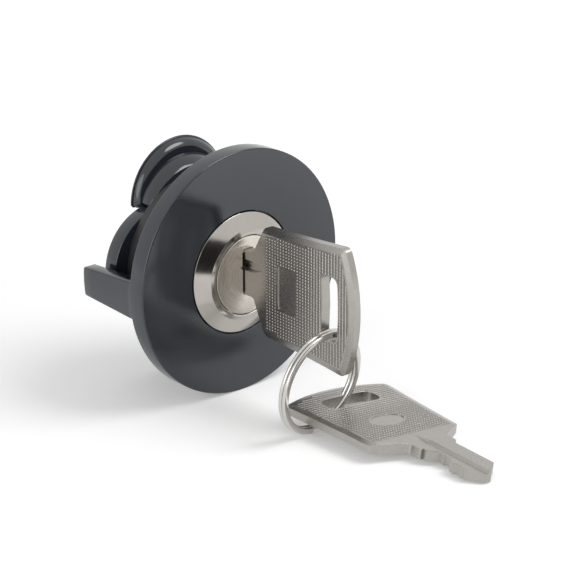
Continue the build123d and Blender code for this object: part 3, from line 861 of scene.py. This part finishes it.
def scrollPieces(v):
    half = v["square"] / 2
    holes = [[(-half, -half), (half, -half), (half, half), (-half, half)]]
    holes += [spiralSlot(v, start) for start in (90, 270)]
    outer = circleLoop(0, 0, v["radius"], 144)
    disc = plate("scrollDisc", outer, holes, -v["back"], -v["front"], v["edge"], frontSeat)
    dress(disc, metals["zinc"], "core", "zinc_steel", "scroll_disc")
    hole, ease = v["shank"] + v["shankRoom"], v["washerRound"]
    washer = [
        (hole, v["back"], 0),
        (v["washerRadius"], v["back"], ease),
        (v["washerRadius"], v["washerBack"], ease),
        (hole, v["washerBack"], 0),
    ]
    washerPiece = spun("scrollWasher", rounded(washer, 3), 96)
    dress(washerPiece, metals["spring"], "core", "zinc_steel", "scroll_washer")
    profile = [
        (v["shank"], v["shankEnd"], ease),
        (v["shank"], v["washerBack"], 0),
        (v["headRadius"], v["washerBack"], 0),
        (v["headRadius"], v["headBack"], v["headRound"]),
        (0, v["headBack"], 0),
        (0, v["shankEnd"], 0),
    ]
    screw = spun("scrollScrew", [(0, v["shankEnd"])] + rounded(profile)[:-1], 96, closed=False)
    long, short, deep = v["cross"]
    for x, z in ((long, short), (short, long)):
        cut = block("cut", (-x, v["headBack"] - deep, -z), (x, v["headBack"] + 1, z))
        combine(screw, [cut], "DIFFERENCE")
    finishNormals(screw.data)
    dress(screw, metals["zinc"], "core", "zinc_steel", "scroll_screw")


scrollPieces(scrollValues)
print("scroll made")


# Claws

clawValues = {
    "foot": 12.1,
    "stations": [  # depth, centre height, radius, foot height
        (10.35, 6.3, 12.0, 12.4),
        (10.45, 6.35, 12.3, 12.15),
        (10.65, 6.45, 12.42, 12.1),
        (11.6, 7.25, 12.25, 12.1),
        (12.6, 8.05, 11.92, 12.1),
        (13.3, 8.6, 11.62, 12.1),
        (13.65, 8.85, 11.45, 12.1),
        (13.65, 11.4, 10.2, 11.0),
        (13.75, 11.4, 10.55, 11.0),
        (14.2, 11.4, 11.15, 11.0),
        (14.8, 11.4, 11.5, 11.0),
        (15.35, 11.4, 11.62, 11.0),
        (15.42, 11.4, 11.9, 11.0),
        (15.5, 11.4, 11.98, 11.0),
        (15.68, 11.4, 12.0, 11.0),
        (15.75, 11.4, 11.93, 11.07),
    ],
    "corner": 0.8,
    "cornerShare": 0.6,  # how far in a corner is eased, in shares of how far up
    "tongueHalf": 5.0,
    "tongueEnd": 3.8,
    "tongueFront": 11.65,
    "tongueBack": 13.5,
    "pinPlace": 5.4,
    "pinRadius": 1.2,
    "pinEnd": 15.65,
    "pinEdge": 0.15,
}


def clawOutline(v, centre, radius, foot, steps=72, flat=12):  # round above, flat below, corners eased
    corner = v["corner"]
    half = sqrt(radius**2 - (foot - centre) ** 2)
    start = atan2(foot - centre, half)
    loop = []
    for step in range(steps + 1):
        angle = start + (pi - 2 * start) * step / steps
        x, z = radius * cos(angle), centre + radius * sin(angle)
        if z - foot < corner:
            pull = corner - sqrt(max(0.0, corner**2 - (corner - z + foot) ** 2))
            x -= pull * v["cornerShare"] * (1 if x > 0 else -1)
        loop.append((x, z))
    left, right = loop[-1][0], loop[0][0]
    return loop + [(left + (right - left) * step / flat, foot) for step in range(1, flat)]


def clawPiece(name, v, body, mirror):
    shape = bmesh.new()
    rings = []
    for depth, centre, radius, foot in v["stations"]:
        loop = clawOutline(v, centre, radius, foot)
        rings.append([shape.verts.new((x * mm, depth * mm, z * mm)) for x, z in loop])
    skin(shape, rings, capped=True)
    mesh = meshFrom(name, shape)
    finishNormals(mesh)
    piece = addObject(name, mesh)
    wide, back = v["tongueHalf"], v["tongueBack"]
    low, high = (-wide, v["tongueFront"], v["tongueEnd"]), (wide, back, v["foot"] + 1)
    reach, end, edge = v["pinRadius"], v["pinEnd"], v["pinEdge"]
    profile = [(0, back - 1), (reach, back - 1), (reach, end - edge), (reach - edge, end), (0, end)]
    pin = spun("pin", profile, 48, closed=False)
    pin.data.transform(Matrix.Translation((0, 0, v["pinPlace"] * mm)))
    combine(piece, [block("tongue", low, high), pin], "UNION")
    if mirror:
        piece.data.transform(Matrix.Diagonal((1, 1, -1, 1)))
    finishNormals(piece.data, sharpAngle=40)
    dress(piece, clawFinish, body, "claw_finish", body)


clawPiece("upperClaw", clawValues, "upper_claw", False)
clawPiece("lowerClaw", clawValues, "lower_claw", True)
print("claws made")


# Keys

keyValues = {
    "thickness": 2.2,
    "edge": 0.07,
    "sharpAngle": 14,  # degrees, less than the shallow bevel's
    "bevelWidth": 1.2,
    "bevelDepth": 0.35,
    "bowLength": 27.8,
    "cornerPlace": 25.0,
    "cornerHalf": 12.95,
    "cornerRound": 1.4,
    "sidePlace": 12.0,
    "sideHalf": 11.85,
    "rootPlace": 2.5,
    "rootHalf": 11.3,
    "rootRound": 0.8,
    "rootRoom": 0.3,
    "collarRounds": (0.4, 0.8, 0.3),  # top, foot of the bow, bottom
    "collarTop": 5.2,
    "collarBottom": -4.1,
    "collarLength": 3.8,
    "collarSlope": 0.9,
    "bladeTop": 4.1,
    "bladeBottom": -3.4,
    "bladeLength": 17.7,
    "tipSlope": 2.7,
    "tipRamp": 3.9,
    "tipHeight": 0.2,
    "tipHalf": 0.7,
    "tipRounds": (0.3, 0.4),
    "cutFirst": -6.8,
    "cutPitch": 1.9473,
    "cutDepths": (1.87, 1.98, 0.66, 0.88, 0.66),
    "cutHalf": 0.5,
    "cutAngle": 40.0,
    "cutStep": 0.1,
    "grooves": [(-1, -0.55), (1, 2.2)],
    "grooveWidth": 1.3,
    "grooveTop": 2.3,
    "grooveDepth": 0.5,
    "grooveEnd": -1.2,
    "groovePoint": 3.4,
    "slotPlace": 21.1,
    "slotWidth": 4.7,
    "slotLength": 12.9,
    "slotBulge": 0.3,
    "slotCorner": 1.5,
    "slotWaist": 3.0,
    "panelPlace": 8.8,
    "panelLength": 5.2,
    "panelWidth": 8.8,
    "panelDepth": 0.35,
    "panelRound": 0.5,
    "panelEdge": 0.1,
    "ovalPlace": 10.2,
    "ovalLength": 4.6,
    "ovalWidth": 7.6,
    "ovalDepth": 0.12,
    "ovalEdge": 0.05,
    "gripMargin": 1.55,
    "gripEndShare": 0.8,  # of the margin, at the bow's corners
    "gripCorner": 0.3,
    "gripRoom": 0.35,
    "fieldHalf": 0.01,
    "gripColumn": 0.8,
    "gripRow": 0.62,
    "gripDot": 0.22,
    "gripRise": 0.09,
    "ribStart": 13.0,
    "ribEnd": 17.0,
    "ribStretch": 1.9,
}


def arcThrough(first, middle, last, steps=24):  # points of the circle through three points
    (ax, ay), (bx, by), (cx, cy) = first, middle, last
    double = 2 * (ax * (by - cy) + bx * (cy - ay) + cx * (ay - by))
    a2, b2, c2 = ax * ax + ay * ay, bx * bx + by * by, cx * cx + cy * cy
    ox = (a2 * (by - cy) + b2 * (cy - ay) + c2 * (ay - by)) / double
    oy = (a2 * (cx - bx) + b2 * (ax - cx) + c2 * (bx - ax)) / double
    radius = dist(first, (ox, oy))
    start = atan2(ay - oy, ax - ox)
    turn = (atan2(cy - oy, cx - ox) - start + pi) % (2 * pi) - pi
    turns = [start + turn * step / steps for step in range(steps + 1)]
    return [(ox + radius * cos(t), oy + radius * sin(t)) for t in turns]


def bowCorners(v):  # from the collar's top round the bow to the collar's bottom
    root, waist = (v["rootPlace"], v["rootHalf"]), (v["sidePlace"], v["sideHalf"])
    corner, low = (v["cornerPlace"], v["cornerHalf"]), (v["cornerPlace"], -v["cornerHalf"])
    side = arcThrough(root, waist, corner)
    end = arcThrough(corner, (v["bowLength"], 0), low, 48)
    top, foot, bottom = v["collarRounds"]
    corners = [
        (-v["collarLength"], v["collarTop"], top),
        (-v["collarSlope"], v["collarTop"], foot),
        (*root, v["rootRound"]),
    ]
    corners += [(x, y, 0) for x, y in side[2:-2]]
    corners += [(*corner, v["cornerRound"])]
    corners += [(x, y, 0) for x, y in end[4:-4]]
    corners += [(*low, v["cornerRound"])]
    corners += [(x, -y, 0) for x, y in side[-3:1:-1]]
    return corners + [
        (v["rootPlace"], -v["rootHalf"], v["rootRound"]),
        (-v["collarSlope"], v["collarBottom"], foot),
        (-v["collarLength"], v["collarBottom"], bottom),
    ]


def cutEdge(v, place):  # height of the blade's lower edge: the deepest cut there, or the ramp to the tip
    low = v["bladeBottom"]
    rampRise = (v["tipHeight"] - v["tipHalf"] - low) / v["tipRamp"]
    height = max(low, low + (v["tipRamp"] - v["bladeLength"] - place) * rampRise)
    for count, depth in enumerate(v["cutDepths"]):
        away = abs(place - v["cutFirst"] + v["cutPitch"] * count)
        flank = max(0.0, away - v["cutHalf"]) / tan(radians(v["cutAngle"]))
        height = max(height, low + depth - flank)
    return height


def keyOutline(v):
    straight = 0.001  # a point nearer than this to the line of its neighbours is left out
    count = round((v["bladeLength"] - v["collarLength"]) / v["cutStep"])
    places = [-v["collarLength"] - v["cutStep"] * step for step in range(count)]
    points = [(place, cutEdge(v, place)) for place in places]
    blade = [(-v["collarLength"], v["bladeBottom"], 0)]
    for before, here, after in zip(points, points[1:], points[2:]):
        if abs(before[1] + after[1] - 2 * here[1]) > straight:
            blade.append((*here, 0))
    end, shoulder = v["tipRounds"]
    blade += [
        (-v["bladeLength"], v["tipHeight"] - v["tipHalf"], end),
        (-v["bladeLength"], v["tipHeight"] + v["tipHalf"], end),
        (v["tipSlope"] - v["bladeLength"], v["bladeTop"], shoulder),
        (-v["collarLength"], v["bladeTop"], 0),
    ]
    return rounded(bowCorners(v) + blade, 5)


def slotOutline(v, room):
    near, far = [v["slotPlace"] + side * (v["slotWidth"] / 2 + room) for side in (-1, 1)]
    half, ease, waist = v["slotLength"] / 2 + room, v["slotCorner"], far - v["slotBulge"]
    bulge = arcThrough((waist, half), (far, 0), (waist, -half), 16)
    corners = [(near, -half, ease), (near + v["slotBulge"], 0, v["slotWaist"]), (near, half, ease)]
    corners += [(waist, half, ease)] + [(x, y, 0) for x, y in bulge[3:-3]] + [(waist, -half, ease)]
    return rounded(corners, 8)


def ovalOutline(v, room, steps=48):
    long, wide = v["ovalLength"] / 2 + room, v["ovalWidth"] / 2 + room
    return [(v["ovalPlace"] + long * x, wide * y) for x, y in circleLoop(0, 0, 1, steps)]


def panelOutline(v, room):
    place, reach, tall = v["panelPlace"], v["panelLength"] / 2 + room, v["panelWidth"] / 2 + room
    corners = ((-1, -1), (1, -1), (1, 1), (-1, 1))
    return rounded([(place + x * reach, y * tall, v["panelRound"]) for x, y in corners])


def bowEdge(v):  # the bow's outline without the collar and the blade
    return [point for point in rounded(bowCorners(v), 5) if point[0] > v["rootPlace"] + v["rootRoom"]]


def bevelTool(v, side):  # wedge swept round the bow, which cuts its wide shallow bevel
    over, beyond, lead = 0.03, 0.6, 1.5
    path = [Vector(point) for point in bowEdge(v)]
    path.insert(0, path[0] * 2.0 - path[0].lerp(path[1], lead / (path[1] - path[0]).length))
    path.append(path[-1] * 2.0 - path[-1].lerp(path[-2], lead / (path[-2] - path[-1]).length))
    slope = v["bevelDepth"] / v["bevelWidth"]
    level = v["thickness"] / 2
    section = [
        (-v["bevelWidth"] - over / slope, level + over),
        (beyond, level - v["bevelDepth"] - beyond * slope),
        (beyond, level + over),
    ]
    shape = bmesh.new()
    rings = []
    for index, point in enumerate(path):
        along = (path[min(index + 1, len(path) - 1)] - path[max(index - 1, 0)]).normalized()
        outward = Vector((-along.y, along.x))
        if outward.dot(point - Vector((v["bowLength"] / 2, 0))) < 0:
            outward.negate()
        places = [(point + outward * out, height) for out, height in section]
        rings.append([shape.verts.new((p.x * mm, p.y * mm, side * height * mm)) for p, height in places])
    skin(shape, rings, capped=True)
    bmesh.ops.recalc_face_normals(shape, faces=shape.faces)
    return addObject("bevelTool", meshFrom("bevelTool", shape))


def grooveTool(v, side, height):  # trapezoid along the blade that runs out to a point on the bow
    half, over = v["thickness"] / 2, 0.3
    slope = (v["grooveTop"] - v["grooveWidth"]) / 2 / v["grooveDepth"]
    wide = v["grooveTop"] / 2 + slope * over
    section = [(-wide, half + over), (-v["grooveWidth"] / 2, half - v["grooveDepth"])]
    section += [(-across, level) for across, level in section[::-1]]
    shape = bmesh.new()
    rings = []
    for place in (-v["bladeLength"] - 1, v["grooveEnd"]):
        rings.append([shape.verts.new((place * mm, (height + y) * mm, side * z * mm)) for y, z in section])
    point = shape.verts.new((v["groovePoint"] * mm, height * mm, side * (half + over) * mm))
    skin(shape, rings + [[point] * 4])
    shape.faces.new(rings[0])
    bmesh.ops.recalc_face_normals(shape, faces=shape.faces)
    return addObject("grooveTool", meshFrom("grooveTool", shape))


def keyPiece(name, v, seat, body):
    half, over = v["thickness"] / 2, 2
    piece = plate(name, keyOutline(v), [slotOutline(v, 0)], -half, half, v["edge"], flatSeat)
    cutters = [bevelTool(v, 1), bevelTool(v, -1)]
    cutters += [grooveTool(v, side, height) for side, height in v["grooves"]]
    panel, panelFloor = panelOutline(v, 0), half - v["panelDepth"]
    cutters.append(plate("panel", panel, [], panelFloor, half + over, v["panelEdge"], flatSeat))
    oval, ovalFloor = ovalOutline(v, 0), v["ovalDepth"] - half
    cutters.append(plate("oval", oval, [], -half - over, ovalFloor, v["ovalEdge"], flatSeat))
    combine(piece, cutters, "DIFFERENCE")
    piece.data.transform(seat)
    finishNormals(piece.data, v["sharpAngle"])
    dress(piece, metals["key"], body, "key_nickel", body)


def gripTree(material):  # dots in a square grid wherever a ray meets the region, stretched into ribs
    numbers = ("Column", "Row", "Level", "Length", "Width", "Rib Start", "Rib End", "Stretch")
    tree, given = newTree("dottedGrip", numbers, ("Left Region", "Right Region", "Dot"))

    def maths(operation, first, second):
        return addNode(tree, "ShaderNodeMath", {0: first, 1: second}, operation=operation).outputs["Value"]

    gridSockets = {"Size X": given["Length"], "Size Y": given["Width"]}
    for size, step, count in (("Length", "Column", "Vertices X"), ("Width", "Row", "Vertices Y")):
        gridSockets[count] = maths("ADD", maths("ROUND", maths("DIVIDE", given[size], given[step]), 0), 1)
    grid = addNode(tree, "GeometryNodeMeshGrid", gridSockets)
    move = addNode(tree, "ShaderNodeCombineXYZ", {"X": maths("MULTIPLY", given["Length"], 0.5)})
    placedSockets = {"Geometry": grid.outputs["Mesh"], "Offset": move.outputs["Vector"]}
    placed = addNode(tree, "GeometryNodeSetPosition", placedSockets)
    dot = addNode(tree, "GeometryNodeObjectInfo", {"Object": given["Dot"]})
    position = tree.nodes.new("GeometryNodeInputPosition").outputs["Position"]
    where = addNode(tree, "ShaderNodeSeparateXYZ", {"Vector": position})
    ribPlaces = {"From Min": given["Rib Start"], "From Max": given["Rib End"]}
    ribSockets = {"Value": where.outputs["X"], **ribPlaces, "To Min": 1, "To Max": given["Stretch"]}
    stretch = addNode(tree, "ShaderNodeMapRange", ribSockets)
    size = addNode(tree, "ShaderNodeCombineXYZ", {"X": 1, "Y": stretch.outputs["Result"], "Z": 1})
    above = addNode(tree, "ShaderNodeVectorMath", {0: position, 1: (0, 0, 0.5)}, operation="ADD")
    joined = tree.nodes.new("GeometryNodeJoinGeometry")
    for name, sign in (("Left Region", 1), ("Right Region", -1)):
        region = addNode(tree, "GeometryNodeObjectInfo", {"Object": given[name]})
        raySockets = {
            "Target Geometry": region.outputs["Geometry"],
            "Source Position": above.outputs["Vector"],
            "Ray Direction": (0, 0, -1),
            "Ray Length": 1,
        }
        ray = addNode(tree, "GeometryNodeRaycast", raySockets)
        copySockets = {
            "Points": placed.outputs["Geometry"],
            "Selection": ray.outputs["Is Hit"],
            "Instance": dot.outputs["Geometry"],
            "Scale": size.outputs["Vector"],
        }
        copies = addNode(tree, "GeometryNodeInstanceOnPoints", copySockets)
        lift = addNode(tree, "ShaderNodeCombineXYZ", {"Z": maths("MULTIPLY", given["Level"], sign)})
        raisedSockets = {"Geometry": copies.outputs["Instances"], "Translation": lift.outputs["Vector"]}
        raised = addNode(tree, "GeometryNodeTransform", raisedSockets)
        tree.links.new(raised.outputs["Geometry"], joined.inputs["Geometry"])
    endTree(tree, joined.outputs["Geometry"], material)
    return tree


def gripDot(v):
    shape = bmesh.new()
    bmesh.ops.create_uvsphere(shape, u_segments=6, v_segments=4, radius=1)
    size = Vector((v["gripDot"], v["gripDot"], v["gripRise"])) * mm
    bmesh.ops.scale(shape, vec=size, verts=shape.verts)
    mesh = meshFrom("gripDot", shape)
    mesh.shade_smooth()
    return addObject("gripDot", mesh)


def keyGrip(name, v, tree, seat, body):
    margin, room, half = v["gripMargin"], v["gripRoom"], v["fieldHalf"]
    cornerPlace = v["cornerPlace"] - margin * v["gripEndShare"]
    inner = {**v, "cornerRound": v["gripCorner"], "cornerPlace": cornerPlace}
    for size in ("rootHalf", "sideHalf", "cornerHalf", "bowLength"):
        inner[size] = v[size] - margin
    outer, slot = bowEdge(inner), slotOutline(v, room)
    regions = [  # thin plates that the dots may cover
        plate(side, outer, [slot, mark], -half, half, 0, flatSeat)
        for side, mark in (("leftRegion", panelOutline(v, room)), ("rightRegion", ovalOutline(v, room)))
    ]
    paintedShade = bmesh.new()  # painted shade between the dots: a thin darker layer on both faces
    for side, used in zip((1, -1), regions):
        layer = used.data.copy()
        layer.transform(Matrix.Translation((0, 0, side * v["thickness"] / 2 * mm)))
        paintedShade.from_mesh(layer)
    paintedShadeMesh = meshFrom(name + "Field", paintedShade)
    paintedShadeMesh.transform(seat)
    dress(addObject(name + "Field", paintedShadeMesh), metals["paintedShade"], body, "key_nickel")
    dot = gripDot(v)
    piece = addObject(name, bpy.data.meshes.new(name))
    change = piece.modifiers.new("grip", "NODES")
    change.node_group = tree
    sizes = {
        "Column": v["gripColumn"],
        "Row": v["gripRow"],
        "Level": v["thickness"] / 2,
        "Length": 2 * v["gripColumn"] * round(v["bowLength"] / v["gripColumn"] / 2),
        "Width": 2 * v["gripRow"] * round(v["cornerHalf"] / v["gripRow"]),
        "Rib Start": v["ribStart"],
        "Rib End": v["ribEnd"],
    }
    setInputs(change, tree, {socket: size * mm for socket, size in sizes.items()})
    setInputs(change, tree, {"Stretch": v["ribStretch"], "Dot": dot})
    setInputs(change, tree, {"Left Region": regions[0], "Right Region": regions[1]})
    bake(piece)
    for used in (*regions, dot):
        bpy.data.objects.remove(used)
    piece.data.transform(seat)
    piece.data.shade_smooth()
    # the dots take the paler metal: painted highlight
    dress(piece, metals["grip"], body, "key_nickel")


spareValues = {
    "slope": 1.9985,  # the spare key lies on its blade, one shoulder and the ring
    "roll": 4.8653,
    "yaw": 2.15,
    "place": (5.5, -49.52, -23.004),
}


def spareSeat(v):
    slope, roll, yaw = [radians(v[turn]) for turn in ("slope", "roll", "yaw")]
    along = Vector((sin(yaw) * cos(slope), cos(yaw) * cos(slope), sin(slope)))
    levelAcross = Vector((cos(yaw), -sin(yaw), 0))
    across = levelAcross * cos(roll) + along.cross(levelAcross) * sin(roll)
    return seatOf(v["place"], along, along.cross(across))


gripNodes = gripTree(metals["grip"])
lockPlace = (0, -9.4, 0.3)  # the foot of the bow, with the blade in the lock
lockSeat = seatOf(lockPlace, (0, -1, 0), (-1, 0, 0))
keySeats = (("lockKey", lockSeat, "key"), ("spareKey", spareSeat(spareValues), "spare_key"))
for name, seat, body in keySeats:
    keyPiece(name, keyValues, seat, body)
for name, seat, body in keySeats:
    keyGrip(name + "Grip", keyValues, gripNodes, seat, body)
print("keys made")


# Split ring

ringValues = {
    "radius": 10.769,
    "band": 1.4,
    "coil": 0.8,
    "gap": 0.04,
    "jog": 30.0,
    "endTurn": -66.0,
    "endTaper": 0.88,
    "lean": 8.3,
    "yaw": 5.35,
    "centre": (-2.95, -30.1, -14.195),
    "corner": 0.3,
    "steps": 330,
}


def ringPiece(v):  # one band of two turns that steps aside where the turns meet
    level = (v["coil"] + v["gap"]) / 2
    middle = v["radius"] - v["band"] / 2
    wide, tall = v["band"] / 2, v["coil"] / 2
    corners = ((-wide, -tall), (wide, -tall), (wide, tall), (-wide, tall))
    section = rounded([(*corner, v["corner"]) for corner in corners], 4)
    lean, yaw = radians(v["lean"]), radians(v["yaw"])
    axis = (sin(yaw) * cos(lean), -cos(yaw) * cos(lean), -sin(lean))
    seat = seatOf(v["centre"], (cos(yaw), sin(yaw), 0), axis)
    jog, steps = v["jog"], v["steps"]
    shape = bmesh.new()
    rings = []
    for step in range(steps + 1):
        turn = jog + (720 - 2 * jog) * step / steps
        height = level * sin(max(-1.0, min(1.0, (turn - 360) / jog)) * pi / 2)
        angle = radians(v["endTurn"] + turn)
        taper = v["endTaper"] if step in (0, steps) else 1
        ring = []
        for out, up in section:
            reach = (middle + out * taper) * mm
            corner = Vector((reach * cos(angle), reach * sin(angle), (height + up * taper) * mm))
            ring.append(shape.verts.new(seat @ corner))
        rings.append(ring)
    skin(shape, rings, capped=True)
    mesh = meshFrom("splitRing", shape)
    finishNormals(mesh, sharpAngle=40)
    dress(addObject("splitRing", mesh), metals["ring"], "ring", "ring_steel", "split_ring")


ringPiece(ringValues)
print("ring made")


low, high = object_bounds()
